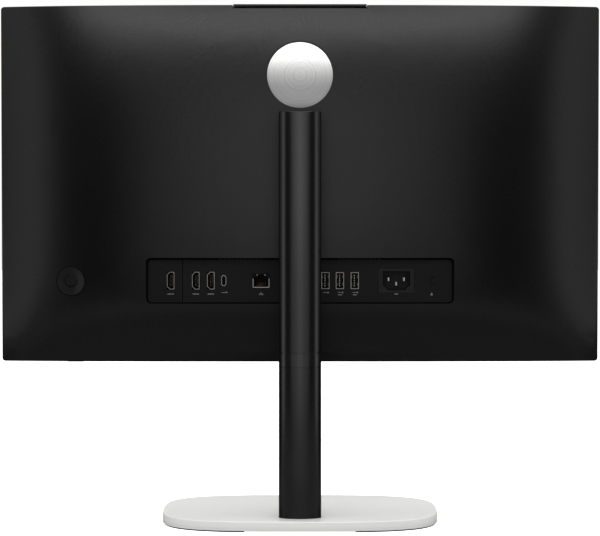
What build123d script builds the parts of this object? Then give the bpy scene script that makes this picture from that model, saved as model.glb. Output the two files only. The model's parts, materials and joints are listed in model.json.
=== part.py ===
from build123d import *
import os

# All-in-one PC on a height-adjustable column stand.
# Millimetres, +Z up. The screen faces -Y and the ports face +Y.
# Origin: centre of the base's footprint, on the desk.

# ---------------------------------------------------------------- driving dimensions
HEAD_W = 540.0          # display width, a 23.8 inch class panel
HEAD_H = 320.0          # display height
HEAD_Z = 299.0          # height of the display's centre, at the top of the lift
GLASS_Y = -45.0         # front face of the display
SEAM_Y = -35.0          # where the front frame meets the rear cover
CORNER_Y = -33.0        # rear cover's outer surface at its corners
CROWN_RISE = 36.0       # how far the rear cover's middle stands behind its corners
TOP_SHARE = 0.80        # part of that rise left at the middle of the top edge
BOTTOM_SHARE = 0.28     # the same at the middle of the bottom edge
SIDE_POWER = 3.3        # how suddenly the crown falls towards the sides
END_POWER = 4.0         # how suddenly it falls towards top and bottom
COVER_WALL = 2.2
HEAD_CORNER = 3.0       # corner radius of the display's outline

BASE_W = 244.0
BASE_D = 187.0
BASE_POWER = 3.4        # superellipse exponent of the base's outline
BASE_TOP = 9.5
FOOT_H = 1.2

COLUMN_W = 36.9
COLUMN_REAR = 76.6      # rearmost line of the column
COLUMN_TOP = 362.5
CAP_H = 1.6
RING_Z = (141.4, 153.3)
RING_GAP = 0.5

TILT_Y = -2.0           # tilt axis, at the height of the display's centre
NECK_HALF_H = 20.0

WELL_X = 137.9          # half width of the port bay in the rear cover
WELL_Z = (192.4, 233.6)
PLATE_Y = (-9.0, -7.0)
PORT_Z = 212.9
BOARD_Y = (-28.0, -26.4)

HALF_W = HEAD_W / 2
HALF_H = HEAD_H / 2
HEAD_TOP = HEAD_Z + HALF_H
HEAD_BOTTOM = HEAD_Z - HALF_H
FAR = 40.0              # a depth behind everything in the head
GAP = 0.2               # clearance between pieces that only sit beside each other


# ---------------------------------------------------------------- helpers
def facing(y):
    """Sketch plane at depth y with local axes +X and +Z; negative amounts run rearward."""
    return Plane.XZ.offset(-y)


def slab(x, y, z, mode=Mode.ADD):
    """A box between a pair of coordinates on each axis."""
    with Locations(((x[0] + x[1]) / 2, (y[0] + y[1]) / 2, (z[0] + z[1]) / 2)):
        Box(x[1] - x[0], y[1] - y[0], z[1] - z[0], mode=mode)


def rod(centre, radius, length, turn=(0, 0, 0), mode=Mode.ADD):
    """A round bar about its centre, along Z before the turn."""
    with Locations(centre):
        Cylinder(radius, length, rotation=turn, mode=mode)


def finish(part, label):
    """Name a finished piece and write it."""
    part.label = label
    export_step(part, f"parts/{label}.step")


def base_outline(inset):
    """Points of the base's superellipse, drawn in by an inset."""
    half_w = BASE_W / 2 - inset
    half_d = BASE_D / 2 - inset
    points = []
    for step in range(64):
        turn = Vector(1, 0).rotate(Axis.Z, step * 360 / 64)
        reach = (abs(turn.X / half_w) ** BASE_POWER + abs(turn.Y / half_d) ** BASE_POWER)
        points.append(turn * reach ** (-1 / BASE_POWER))
    return points


def column_edges(inset):
    """The four edges of the column's oval section, drawn in by an inset; used inside BuildLine."""
    half_w = COLUMN_W / 2 - inset
    arch = ARCH_D - inset
    EllipticalCenterArc((0, ARCH_REAR_Y), half_w, arch, 0, arc_size=180)
    EllipticalCenterArc((0, ARCH_FRONT_Y), half_w, arch, 180, arc_size=180)
    Line((-half_w, ARCH_REAR_Y), (-half_w, ARCH_FRONT_Y))
    Line((half_w, ARCH_FRONT_Y), (half_w, ARCH_REAR_Y))


def crown(x, z):
    """Depth of the rear cover's outer surface at a point of the display."""
    across = 1 - abs(x / HALF_W) ** SIDE_POWER
    up = (z - HEAD_Z) / HALF_H
    share = TOP_SHARE if up > 0 else BOTTOM_SHARE
    return CORNER_Y + CROWN_RISE * across * (1 - (1 - share) * abs(up) ** END_POWER)


def behind_crown(shift):
    """Everything behind the rear cover's surface moved rearward by a shift."""
    columns = 33
    rows = 21
    over = 2.0
    grid = []
    for row in range(rows):
        z = HEAD_Z + (HALF_H + over) * (2 * row / (rows - 1) - 1)
        line = []
        for column in range(columns):
            x = (HALF_W + over) * (2 * column / (columns - 1) - 1)
            line.append(Vector(x, crown(x, z) + shift, z))
        grid.append(line)
    surface = Face.make_surface_from_array_of_points(grid, tol=0.02, min_deg=3, max_deg=5)
    return Solid.extrude(surface, Vector(0, 2 * FAR, 0))


def crown_plane(x, z):
    """Plane on the rear cover's surface, its normal pointing out of the cover."""
    step = 1.0
    slope_x = (crown(x + step, z) - crown(x - step, z)) / (2 * step)
    slope_z = (crown(x, z + step) - crown(x, z - step)) / (2 * step)
    return Plane((x, crown(x, z), z), x_dir=(1, slope_x, 0), z_dir=(-slope_x, 1, -slope_z))


ARCH_D = 11.2                                   # depth of each rounded end of the column's oval
COLUMN_D = 31.8
ARCH_REAR_Y = COLUMN_REAR - ARCH_D
ARCH_FRONT_Y = COLUMN_REAR - COLUMN_D + ARCH_D
COLUMN_FRONT = COLUMN_REAR - COLUMN_D
COLUMN_WALL = 2.0

os.makedirs("parts", exist_ok=True)

# ================================================================ STAND
# ---------------------------------------------------------------- base
BASE_SKIN = 2.2
BASE_RIM = 2.0
RIM_BOTTOM = FOOT_H
SHEET_T = 1.0
WEIGHT_Z = (RIM_BOTTOM + SHEET_T, BASE_TOP - BASE_SKIN)
COLUMN_SCREWS = [(x, y) for x in (-7, 7) for y in (56, 65)]

with BuildPart() as base_shell:
    with BuildSketch(Plane.XY.offset(RIM_BOTTOM)):
        with BuildLine():
            Spline(base_outline(0), periodic=True)
        make_face()
    extrude(amount=BASE_TOP - RIM_BOTTOM)
    fillet(base_shell.faces().sort_by(Axis.Z)[-1].edges(), 1.0)
    with BuildSketch(Plane.XY.offset(RIM_BOTTOM)):
        with BuildLine():
            Spline(base_outline(BASE_RIM), periodic=True)
        make_face()
    extrude(amount=BASE_TOP - BASE_SKIN - RIM_BOTTOM, mode=Mode.SUBTRACT)
    with Locations([(x, y, BASE_TOP) for x, y in COLUMN_SCREWS]):
        Hole(2.2, depth=BASE_SKIN + 1)
finish(base_shell.part, "base_shell")

with BuildPart() as base_weight:
    with BuildSketch(Plane.XY.offset(WEIGHT_Z[0])):
        with BuildLine():
            Spline(base_outline(BASE_RIM + GAP), periodic=True)
        make_face()
    extrude(amount=WEIGHT_Z[1] - WEIGHT_Z[0])
    with Locations([(x, y, WEIGHT_Z[1]) for x, y in COLUMN_SCREWS]):
        Hole(2.3, depth=20)
    with Locations([(x, y, WEIGHT_Z[0] + 3.0) for x, y in COLUMN_SCREWS]):
        Cylinder(4.2, 6.0, align=(Align.CENTER, Align.CENTER, Align.MAX), mode=Mode.SUBTRACT)
finish(base_weight.part, "base_weight")

with BuildPart() as base_underside:
    with BuildSketch(Plane.XY.offset(RIM_BOTTOM)):
        with BuildLine():
            Spline(base_outline(BASE_RIM + GAP), periodic=True)
        make_face()
    extrude(amount=SHEET_T - 0.05)
    with Locations([(x, y, RIM_BOTTOM) for x, y in COLUMN_SCREWS]):
        Cylinder(4.6, 4.0, mode=Mode.SUBTRACT)
finish(base_underside.part, "base_underside")

FOOT_INSET = 1.0
FOOT_WIDTH = 8.0
FOOT_GAP = 48.0         # half the gap between the two strips, front and rear

for side, name in ((1, "foot_strip_left"), (-1, "foot_strip_right")):
    with BuildPart() as foot:
        with BuildSketch(Plane.XY):
            with BuildLine():
                Spline(base_outline(FOOT_INSET), periodic=True)
            make_face()
            with BuildLine():
                Spline(base_outline(FOOT_INSET + FOOT_WIDTH), periodic=True)
            make_face(mode=Mode.SUBTRACT)
        extrude(amount=FOOT_H)
        slab((-FOOT_GAP, FOOT_GAP), (-BASE_D, BASE_D), (-1, FOOT_H + 1), mode=Mode.SUBTRACT)
        split(bisect_by=Plane.YZ, keep=Keep.TOP if side > 0 else Keep.BOTTOM)
    finish(foot.part, name)

# ---------------------------------------------------------------- column
CORE_X = 13.0
CORE_Y = (51.6, 69.8)
CORE_WALL = 2.0
CORE_SLOT = 7.0
CORE_TOP = COLUMN_TOP - CAP_H - 6.0
CORE_SOLE = 8.0

with BuildPart() as column_core:
    slab((-CORE_X, CORE_X), CORE_Y, (BASE_TOP, CORE_TOP))
    hollow_x = CORE_X - CORE_WALL
    slab((-hollow_x, hollow_x), (CORE_Y[0] + CORE_WALL, CORE_Y[1] - CORE_WALL),
         (BASE_TOP + CORE_SOLE, CORE_TOP + 1), mode=Mode.SUBTRACT)
    slab((-CORE_SLOT, CORE_SLOT), (CORE_Y[0] - 1, CORE_Y[0] + CORE_WALL + 1),
         (BASE_TOP + CORE_SOLE, CORE_TOP + 1), mode=Mode.SUBTRACT)
    with Locations([(x, y, BASE_TOP) for x, y in COLUMN_SCREWS]):
        Cylinder(2.0, 2 * (CORE_SOLE - 1), mode=Mode.SUBTRACT)
finish(column_core.part, "column_core")

with BuildPart() as column_screws:
    for x, y in COLUMN_SCREWS:
        rod((x, y, WEIGHT_Z[0] + 1.4), 3.8, 2.4)
        rod((x, y, WEIGHT_Z[0] + 2.6 + 5.0), 1.9, 10.0)
finish(column_screws.part, "column_screws")

LOWER_Z = (BASE_TOP, RING_Z[0] - RING_GAP)
UPPER_Z = (RING_Z[1] + RING_GAP, COLUMN_TOP - CAP_H)
SLOT_X = 8.0
SLOT_Z = (168.0, 324.0)

for name, bottom, top in (("lower_column_cover", *LOWER_Z), ("upper_column_cover", *UPPER_Z)):
    with BuildPart() as cover:
        with BuildSketch(Plane.XY.offset(bottom)):
            with BuildLine():
                column_edges(0)
            make_face()
            with BuildLine():
                column_edges(COLUMN_WALL)
            make_face(mode=Mode.SUBTRACT)
        extrude(amount=top - bottom)
        if name == "upper_column_cover":
            slab((-SLOT_X, SLOT_X), (COLUMN_FRONT - 1, COLUMN_FRONT + 4), SLOT_Z, mode=Mode.SUBTRACT)
    finish(cover.part, name)

with BuildPart() as column_ring:
    with BuildSketch(Plane.XY.offset(RING_Z[0])):
        with BuildLine():
            column_edges(0)
        make_face()
        with BuildLine():
            column_edges(COLUMN_WALL)
        make_face(mode=Mode.SUBTRACT)
    extrude(amount=RING_Z[1] - RING_Z[0])
    fillet(column_ring.edges().filter_by(Plane.XY).group_by(Axis.Z)[-1], 0.3)
    with BuildSketch(Plane.XY.offset(LOWER_Z[1] - 3)):
        with BuildLine():
            column_edges(COLUMN_WALL + 0.1)
        make_face()
        with BuildLine():
            column_edges(COLUMN_WALL + 0.7)
        make_face(mode=Mode.SUBTRACT)
    extrude(amount=UPPER_Z[0] - LOWER_Z[1] + 6)
finish(column_ring.part, "column_ring")

with BuildPart() as column_cap:
    with BuildSketch(Plane.XY.offset(COLUMN_TOP - CAP_H)):
        with BuildLine():
            column_edges(0)
        make_face()
    extrude(amount=CAP_H)
    fillet(column_cap.faces().sort_by(Axis.Z)[-1].edges(), 0.6)
    with BuildSketch(Plane.XY.offset(COLUMN_TOP - CAP_H - 4)):
        with BuildLine():
            column_edges(COLUMN_WALL + 0.1)
        make_face()
        with BuildLine():
            column_edges(COLUMN_WALL + 1.3)
        make_face(mode=Mode.SUBTRACT)
    extrude(amount=4)
finish(column_cap.part, "column_cap")

RAIL_T = 0.8
RAIL_Z = (165.0, 345.0)

with BuildPart() as slide_rails:
    for side in (-1, 1):
        outer = side * (CORE_X - CORE_WALL)
        inner = side * (CORE_X - CORE_WALL - RAIL_T)
        slab((min(outer, inner), max(outer, inner)), (56.0, 65.0), RAIL_Z)
finish(slide_rails.part, "slide_rails")

# The spring's free end hangs from the top of the channel, behind the coil.
STRIP_Y = (66.9, 67.2)
COIL_Z = 329.0

with BuildPart() as spring_strip:
    slab((-7, 7), STRIP_Y, (COIL_Z, CORE_TOP - 4))
    slab((-7, 7), (STRIP_Y[0] - 1.2, STRIP_Y[0]), (CORE_TOP - 8, CORE_TOP - 4))
finish(spring_strip.part, "spring_strip")

# ================================================================ LIFT CARRIAGE
BLOCK_X = 8.6
BLOCK_Y = (55.0, 66.0)
BLOCK_Z = (258.0, 318.0)

with BuildPart() as lift_carriage:
    slab((-BLOCK_X, BLOCK_X), BLOCK_Y, BLOCK_Z)
    chamfer(lift_carriage.edges().filter_by(Axis.Z), 1.0)
    for side in (-1, 1):
        slab((side * 8.0 - 0.9, side * 8.0 + 0.9), (58.0, 64.0), (BLOCK_Z[1], COIL_Z + 4))
    rod((0, 61.0, COIL_Z), 1.5, 17.0, turn=(0, 90, 0))
finish(lift_carriage.part, "lift_carriage")

with BuildPart() as carriage_glides:
    for side in (-1, 1):
        for z in (BLOCK_Z[0] + 8, BLOCK_Z[1] - 8):
            outer = side * (CORE_X - CORE_WALL - RAIL_T - 0.1)
            slab((min(side * BLOCK_X, outer), max(side * BLOCK_X, outer)), (58.0, 63.0), (z - 7, z + 7))
finish(carriage_glides.part, "carriage_glides")

with BuildPart() as lift_spring:
    with BuildSketch(Plane.YZ):
        with Locations((61.0, COIL_Z)):
            Circle(5.6)
            Circle(1.55, mode=Mode.SUBTRACT)
    extrude(amount=6.8, both=True)
finish(lift_spring.part, "lift_spring")

BARREL_R = 9.0
BARREL_X = 8.0
PIN_R = 4.0
ARM_X = 11.0
ARM_Y = (12.0, 40.5)

with BuildPart() as neck_arm:
    slab((-5.5, 5.5), (ARM_Y[1], BLOCK_Y[0]), (HEAD_Z - 19, HEAD_Z + 19))
    slab((-ARM_X, ARM_X), ARM_Y, (HEAD_Z - NECK_HALF_H, HEAD_Z + NECK_HALF_H))
    fillet(neck_arm.edges().filter_by(Axis.Y).group_by(Axis.X)[0], 3.0)
    fillet(neck_arm.edges().filter_by(Axis.Y).group_by(Axis.X)[-1], 3.0)
    with BuildSketch(Plane.YZ):
        Polygon((TILT_Y, HEAD_Z - BARREL_R), (ARM_Y[0], HEAD_Z - 14), (ARM_Y[0], HEAD_Z + 14),
                (TILT_Y, HEAD_Z + BARREL_R), align=None)
        with Locations((TILT_Y, HEAD_Z)):
            Circle(BARREL_R)
    extrude(amount=BARREL_X, both=True)
    rod((0, TILT_Y, HEAD_Z), PIN_R + 0.05, 60, turn=(0, 90, 0), mode=Mode.SUBTRACT)
finish(neck_arm.part, "neck_arm")

with BuildPart() as neck_cover:
    with BuildSketch(facing(ARM_Y[0] + 1)):
        with Locations((0, HEAD_Z)):
            RectangleRounded(2 * (ARM_X + 2.2), 2 * (NECK_HALF_H + 2.2), 5)
            RectangleRounded(2 * (ARM_X + 0.2), 2 * (NECK_HALF_H + 0.2), 3, mode=Mode.SUBTRACT)
    extrude(amount=-(ARM_Y[1] + 2 - ARM_Y[0]))
finish(neck_cover.part, "neck_cover")

# ================================================================ DISPLAY HEAD
# ---------------------------------------------------------------- tilt bracket
CHASSIS_Y = (-36.0, -34.8)
HAT_X = 30.0
HAT_Y = (-16.0, -13.0)
HAT_HALF_H = 48.0
LUG_X = (9.0, 13.0)
LUG_R = 8.5

with BuildPart() as tilt_bracket:
    slab((-HAT_X, HAT_X), HAT_Y, (HEAD_Z - HAT_HALF_H, HEAD_Z + HAT_HALF_H))
    for side in (-1, 1):
        wall = sorted((side * HAT_X, side * (HAT_X - 3)))
        slab(wall, (CHASSIS_Y[1], HAT_Y[1]), (HEAD_Z - HAT_HALF_H, HEAD_Z + HAT_HALF_H))
        foot_edge = sorted((side * HAT_X, side * (HAT_X + 12)))
        slab(foot_edge, (CHASSIS_Y[1], CHASSIS_Y[1] + 3), (HEAD_Z - HAT_HALF_H, HEAD_Z + HAT_HALF_H))
    for side in (-1, 1):
        with BuildSketch(Plane.YZ.offset(side * LUG_X[0])):
            Polygon((HAT_Y[1], HEAD_Z - 14), (HAT_Y[1], HEAD_Z + 14), (TILT_Y, HEAD_Z + LUG_R),
                    (TILT_Y, HEAD_Z - LUG_R), align=None)
            with Locations((TILT_Y, HEAD_Z)):
                Circle(LUG_R)
        extrude(amount=side * (LUG_X[1] - LUG_X[0]))
    rod((0, TILT_Y, HEAD_Z), PIN_R, 60, turn=(0, 90, 0), mode=Mode.SUBTRACT)
    with Locations([Plane((side * (HAT_X + 6), CHASSIS_Y[1] + 3, HEAD_Z + up), z_dir=(0, 1, 0)).location
                    for side in (-1, 1) for up in (-36, 36)]):
        Hole(2.2, depth=4)
finish(tilt_bracket.part, "tilt_bracket")

with BuildPart() as tilt_pin:
    rod((0, TILT_Y, HEAD_Z), PIN_R, 28.4, turn=(0, 90, 0))
finish(tilt_pin.part, "tilt_pin")

# Spring washers and their end collars keep the tilt where it is put.
with BuildPart() as friction_washers:
    for side in (-1, 1):
        centre = side * (LUG_X[1] + 0.75)
        rod((centre, TILT_Y, HEAD_Z), 6.5, 1.4, turn=(0, 90, 0))
        rod((centre, TILT_Y, HEAD_Z), PIN_R + 0.02, 3, turn=(0, 90, 0), mode=Mode.SUBTRACT)
finish(friction_washers.part, "friction_washers")

with BuildPart() as bracket_screws:
    for side in (-1, 1):
        for up in (-36, 36):
            x = side * (HAT_X + 6)
            rod((x, CHASSIS_Y[1] + 4.1, HEAD_Z + up), 3.6, 2.0, turn=(90, 0, 0))
            rod((x, CHASSIS_Y[1] + 1.4, HEAD_Z + up), 1.9, 4.4, turn=(90, 0, 0))
finish(bracket_screws.part, "bracket_screws")

# ---------------------------------------------------------------- screen stack and chassis
GLASS_X = 268.2
GLASS_Z = (151.0, 457.5)
CHASSIS_X = 254.0
CHASSIS_Z = (152.0, 450.0)

with BuildPart() as front_frame:
    with BuildSketch(facing(GLASS_Y)):
        with Locations((0, HEAD_Z)):
            RectangleRounded(HEAD_W, HEAD_H, HEAD_CORNER)
    extrude(amount=-(SEAM_Y - GLASS_Y - 0.05))
    fillet(front_frame.faces().sort_by(Axis.Y)[0].edges(), 0.5)
    slab((-GLASS_X - GAP, GLASS_X + GAP), (GLASS_Y - 1, SEAM_Y + 1), (GLASS_Z[0] - GAP, GLASS_Z[1] + GAP),
         mode=Mode.SUBTRACT)
finish(front_frame.part, "front_frame")

with BuildPart() as screen_glass:
    slab((-GLASS_X, GLASS_X), (GLASS_Y + 0.2, GLASS_Y + 1.0), GLASS_Z)
finish(screen_glass.part, "screen_glass")

with BuildPart() as lcd_panel:
    slab((-GLASS_X + 1, GLASS_X - 1), (GLASS_Y + 1.05, GLASS_Y + 2.6), (GLASS_Z[0] + 1, GLASS_Z[1] - 1))
finish(lcd_panel.part, "lcd_panel")

with BuildPart() as backlight_unit:
    slab((-GLASS_X + 1, GLASS_X - 1), (GLASS_Y + 2.65, CHASSIS_Y[0] - 0.05), (GLASS_Z[0] + 1, GLASS_Z[1] - 1))
finish(backlight_unit.part, "backlight_unit")

BOARD_POSTS = [(-55, 191), (0, 191), (60, 191), (120, 191), (47, 334), (164, 334), (164, 246)]
BRACKET_POINTS = [(side * (HAT_X + 6), HEAD_Z + up) for side in (-1, 1) for up in (-36, 36)]

with BuildPart() as chassis:
    slab((-CHASSIS_X, CHASSIS_X), CHASSIS_Y, CHASSIS_Z)
    with BuildSketch(facing(CHASSIS_Y[1])):
        with Locations(BOARD_POSTS):
            Circle(3.0)
    extrude(amount=-(BOARD_Y[0] - CHASSIS_Y[1]))
    with BuildSketch(facing(CHASSIS_Y[1] - 1)):
        with Locations(BOARD_POSTS):
            Circle(1.55)
    extrude(amount=-FAR, mode=Mode.SUBTRACT)
    with BuildSketch(facing(CHASSIS_Y[0] - 1)):
        with Locations(BRACKET_POINTS):
            Circle(1.95)
    extrude(amount=-4, mode=Mode.SUBTRACT)
finish(chassis.part, "chassis")

# ---------------------------------------------------------------- rear cover
WELL_WALL = 1.6
WELL_R = 4.5
WELL_FLOOR = -11.0
NECK_OPEN = (17.0, 31.0)        # half width and half height of the hole for the neck
DISH_AT = (205.9, 212.3)
DISH_R = 13.0
BUTTON_R = 5.4
BADGE_AT = (0.0, 396.6)
BADGE_R = 30.5
NOTCH_X = 60.0
NOTCH_Z = 456.0
TOP_SLOTS = [side * (74 + 6 * step) for side in (-1, 1) for step in range(20)]
BOTTOM_SLOTS = [side * (46 + 6 * step) for side in (-1, 1) for step in range(24)]

dish_plane = crown_plane(*DISH_AT)
badge_plane = crown_plane(*BADGE_AT)

with BuildPart() as cover_hollow:
    with BuildSketch(facing(SEAM_Y - 1)):
        with Locations((0, HEAD_Z)):
            RectangleRounded(HEAD_W - 2 * COVER_WALL, HEAD_H - 2 * COVER_WALL, 1.5)
    extrude(amount=-2 * FAR)
    add(behind_crown(-COVER_WALL), mode=Mode.SUBTRACT)
    with BuildSketch(facing(WELL_FLOOR)):
        with Locations((0, sum(WELL_Z) / 2)):
            RectangleRounded(2 * (WELL_X + WELL_WALL), WELL_Z[1] - WELL_Z[0] + 2 * WELL_WALL, WELL_R + WELL_WALL)
    extrude(amount=-FAR, mode=Mode.SUBTRACT)
    with BuildSketch(badge_plane.offset(-3.2)):
        Circle(BADGE_R + 1.5)
    extrude(amount=FAR, mode=Mode.SUBTRACT)

with BuildPart() as rear_cover:
    with BuildSketch(facing(SEAM_Y)):
        with Locations((0, HEAD_Z)):
            RectangleRounded(HEAD_W, HEAD_H, HEAD_CORNER)
    extrude(amount=-2 * FAR)
    add(behind_crown(0), mode=Mode.SUBTRACT)
    add(cover_hollow.part, mode=Mode.SUBTRACT)
    with BuildSketch(facing(WELL_FLOOR - 1)):
        with Locations((0, sum(WELL_Z) / 2)):
            RectangleRounded(2 * WELL_X, WELL_Z[1] - WELL_Z[0], WELL_R)
    extrude(amount=-FAR, mode=Mode.SUBTRACT)
    with BuildSketch(facing(WELL_FLOOR)):
        with Locations((0, HEAD_Z)):
            RectangleRounded(2 * NECK_OPEN[0], 2 * NECK_OPEN[1], 4)
    extrude(amount=-FAR, mode=Mode.SUBTRACT)
    with BuildSketch(badge_plane.offset(-1.0)):
        Circle(BADGE_R + 0.15)
    extrude(amount=FAR, mode=Mode.SUBTRACT)
    with BuildSketch(dish_plane.offset(-6)):
        Circle(DISH_R + 0.2)
    extrude(amount=FAR, mode=Mode.SUBTRACT)
    slab((-NOTCH_X, NOTCH_X), (SEAM_Y - 1, FAR), (NOTCH_Z, HEAD_TOP + 1), mode=Mode.SUBTRACT)
    with BuildSketch(Plane.XY.offset(HEAD_TOP + 1)):
        with Locations([(x, -27) for x in TOP_SLOTS]):
            Rectangle(3, 8)
    extrude(amount=-5, mode=Mode.SUBTRACT)
    with BuildSketch(Plane.XY.offset(HEAD_BOTTOM - 1)):
        with Locations([(x, -31) for x in BOTTOM_SLOTS]):
            Rectangle(3, 5)
    extrude(amount=5, mode=Mode.SUBTRACT)
finish(rear_cover.part, "rear_cover")

# ---------------------------------------------------------------- port bay
PLATE_GAP_TOP = 2.2
PLATE_GAP_BOTTOM = 1.0
PLATE_GAP_SIDE = 2.0
PLATE_Z = (WELL_Z[0] + PLATE_GAP_BOTTOM, WELL_Z[1] - PLATE_GAP_TOP)
PLATE_X = WELL_X - PLATE_GAP_SIDE
FLEX_SEAM_X = 105.2
VIDEO_X = (115.9, 93.4, 79.9)
VIDEO_SIZE = (6.6, 15.6)
USB_C_X = 68.3
USB_C_SIZE = (4.4, 9.6)
NETWORK_X = 34.9
NETWORK_SIZE = (14.8, 12.6)
USB_A_X = (-22.8, -35.8, -49.1)
USB_A_SIZE = (7.2, 14.8)
INLET_X = -86.3
INLET_SIZE = (32.0, 22.0)
LOCK_X = -118.0
LOCK_SIZE = (3.4, 7.8)
PORT_FACE_Y = PLATE_Y[1] + 0.4
SHELL_WALL = 0.6
RIB_X = [side * (35 + 3.6 * step) for side in (-1, 1) for step in range(11)]

PLATE_HOLES = [(x, VIDEO_SIZE) for x in VIDEO_X] + [(x, USB_A_SIZE) for x in USB_A_X]
PLATE_HOLES += [(USB_C_X, USB_C_SIZE), (NETWORK_X, NETWORK_SIZE), (INLET_X, INLET_SIZE)]

with BuildPart() as whole_plate:
    with BuildSketch(facing(PLATE_Y[0])):
        with Locations((0, sum(PLATE_Z) / 2)):
            RectangleRounded(2 * PLATE_X, PLATE_Z[1] - PLATE_Z[0], 3)
        for x, size in PLATE_HOLES:
            with Locations((x, PORT_Z)):
                Rectangle(size[0] + 2 * GAP, size[1] + 2 * GAP, mode=Mode.SUBTRACT)
        with Locations((LOCK_X, PORT_Z)):
            SlotOverall(LOCK_SIZE[1], LOCK_SIZE[0], rotation=90, mode=Mode.SUBTRACT)
        with Locations([(x, PLATE_Z[1] + 0.7) for x in RIB_X]):
            Rectangle(1.8, 2.2)
    extrude(amount=-(PLATE_Y[1] - PLATE_Y[0]))
    for x in (-130.0, 130.0):
        for z in (PLATE_Z[0] + 5, PLATE_Z[1] - 5):
            slab((x - 2.5, x + 2.5), (CHASSIS_Y[1], PLATE_Y[0]), (z - 2.5, z + 2.5))

for name, low, high in (("io_plate", -HALF_W, FLEX_SEAM_X - 0.3), ("flex_port_plate", FLEX_SEAM_X + 0.3, HALF_W)):
    with BuildPart() as plate:
        slab((low, high), (CHASSIS_Y[1], FAR), (HEAD_BOTTOM, HEAD_TOP))
        add(whole_plate.part, mode=Mode.INTERSECT)
    finish(plate.part, name)


def port_outline(size, corner, bevel):
    """Rectangle with its -X corners rounded and its +X corners bevelled, or rounded where bevel is 0."""
    with BuildSketch() as outline:
        Rectangle(*size)
        columns = outline.vertices().group_by(Axis.X)
        fillet(columns[0], corner)
        columns = outline.vertices().group_by(Axis.X)
        if bevel > 0:
            chamfer(columns[-1], bevel)
        else:
            fillet(columns[-1], corner)
    return outline.sketch


def port_shells(places, size, corner, bevel=0.0):
    """Closed-backed metal shells standing on the board, open to the rear."""
    bore = (size[0] - 2 * SHELL_WALL, size[1] - 2 * SHELL_WALL)
    with BuildPart() as shells:
        with BuildSketch(facing(BOARD_Y[1])):
            with Locations([(x, PORT_Z) for x in places]):
                add(port_outline(size, corner, bevel))
        extrude(amount=-(PORT_FACE_Y - BOARD_Y[1]))
        with BuildSketch(facing(BOARD_Y[1] + 4)):
            with Locations([(x, PORT_Z) for x in places]):
                add(port_outline(bore, corner * 0.7, bevel * 0.85))
        extrude(amount=-FAR, mode=Mode.SUBTRACT)
    return shells.part


finish(port_shells(VIDEO_X, VIDEO_SIZE, 0.8, bevel=2.6), "video_ports")
finish(port_shells((USB_C_X,), USB_C_SIZE, 2.1), "usb_c_port")
finish(port_shells(USB_A_X, USB_A_SIZE, 0.6), "usb_a_ports")
finish(port_shells((NETWORK_X,), NETWORK_SIZE, 0.6), "network_port")

# The network socket's moulding leaves a mouth for the plug and a notch above it for the latch.
NETWORK_MOUTH = (12.6, 8.4)
NETWORK_NOTCH = (6.2, 2.2)
NETWORK_FLOOR = PORT_Z - NETWORK_SIZE[1] / 2 + SHELL_WALL + 0.15

with BuildPart() as network_insert:
    insert_x = NETWORK_SIZE[0] / 2 - SHELL_WALL - 0.05
    slab((NETWORK_X - insert_x, NETWORK_X + insert_x), (BOARD_Y[1] + 4.05, PORT_FACE_Y - 0.3),
         (NETWORK_FLOOR - 0.1, PORT_Z + NETWORK_SIZE[1] / 2 - SHELL_WALL - 0.05))
    fillet(network_insert.edges().filter_by(Axis.Y), 0.6)
    mouth_top = NETWORK_FLOOR + NETWORK_MOUTH[1]
    for size, low, high in ((NETWORK_MOUTH, NETWORK_FLOOR - 1, mouth_top),
                            (NETWORK_NOTCH, mouth_top - 1, mouth_top + NETWORK_NOTCH[1])):
        slab((NETWORK_X - size[0] / 2, NETWORK_X + size[0] / 2), (BOARD_Y[1] + 6, FAR), (low, high),
             mode=Mode.SUBTRACT)
finish(network_insert.part, "network_insert")

TONGUES = [(x - 0.6, 2.0, 11.0) for x in VIDEO_X] + [(x - 1.0, 2.0, 11.4) for x in USB_A_X]
TONGUES += [(USB_C_X, 0.8, 6.6)]

with BuildPart() as port_tongues:
    for x, thick, tall in TONGUES:
        slab((x - thick / 2, x + thick / 2), (BOARD_Y[1] + 4, PORT_FACE_Y - 1.5),
             (PORT_Z - tall / 2, PORT_Z + tall / 2))
finish(port_tongues.part, "port_tongues")

# The inlet's cavity loses its two lower corners; the earth pin stands on that side.
CAVITY = (24.4, 17.0)
CAVITY_CUT = 4.6
CAVITY_DEPTH = 15.0

with BuildPart() as power_inlet:
    slab((INLET_X - INLET_SIZE[0] / 2, INLET_X + INLET_SIZE[0] / 2), (CHASSIS_Y[1] + 4, PORT_FACE_Y),
         (PORT_Z - INLET_SIZE[1] / 2, PORT_Z + INLET_SIZE[1] / 2))
    with BuildSketch(facing(PORT_FACE_Y)) as cavity:
        with Locations((INLET_X, PORT_Z)):
            Rectangle(*CAVITY)
        chamfer(cavity.vertices().group_by(Axis.Y)[0], CAVITY_CUT)
    extrude(amount=CAVITY_DEPTH, mode=Mode.SUBTRACT)
finish(power_inlet.part, "power_inlet")

INLET_PINS = [(-7.0, 1.2), (7.0, 1.2), (0.0, -2.8)]

with BuildPart() as inlet_pins:
    with BuildSketch(facing(PORT_FACE_Y - CAVITY_DEPTH)):
        with Locations([(INLET_X + x, PORT_Z + z) for x, z in INLET_PINS]):
            Rectangle(2.0, 4.0)
    extrude(amount=-(CAVITY_DEPTH - 1.5))
    chamfer(inlet_pins.faces().sort_by(Axis.Y)[-3:].edges(), 0.5)
finish(inlet_pins.part, "inlet_pins")

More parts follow.
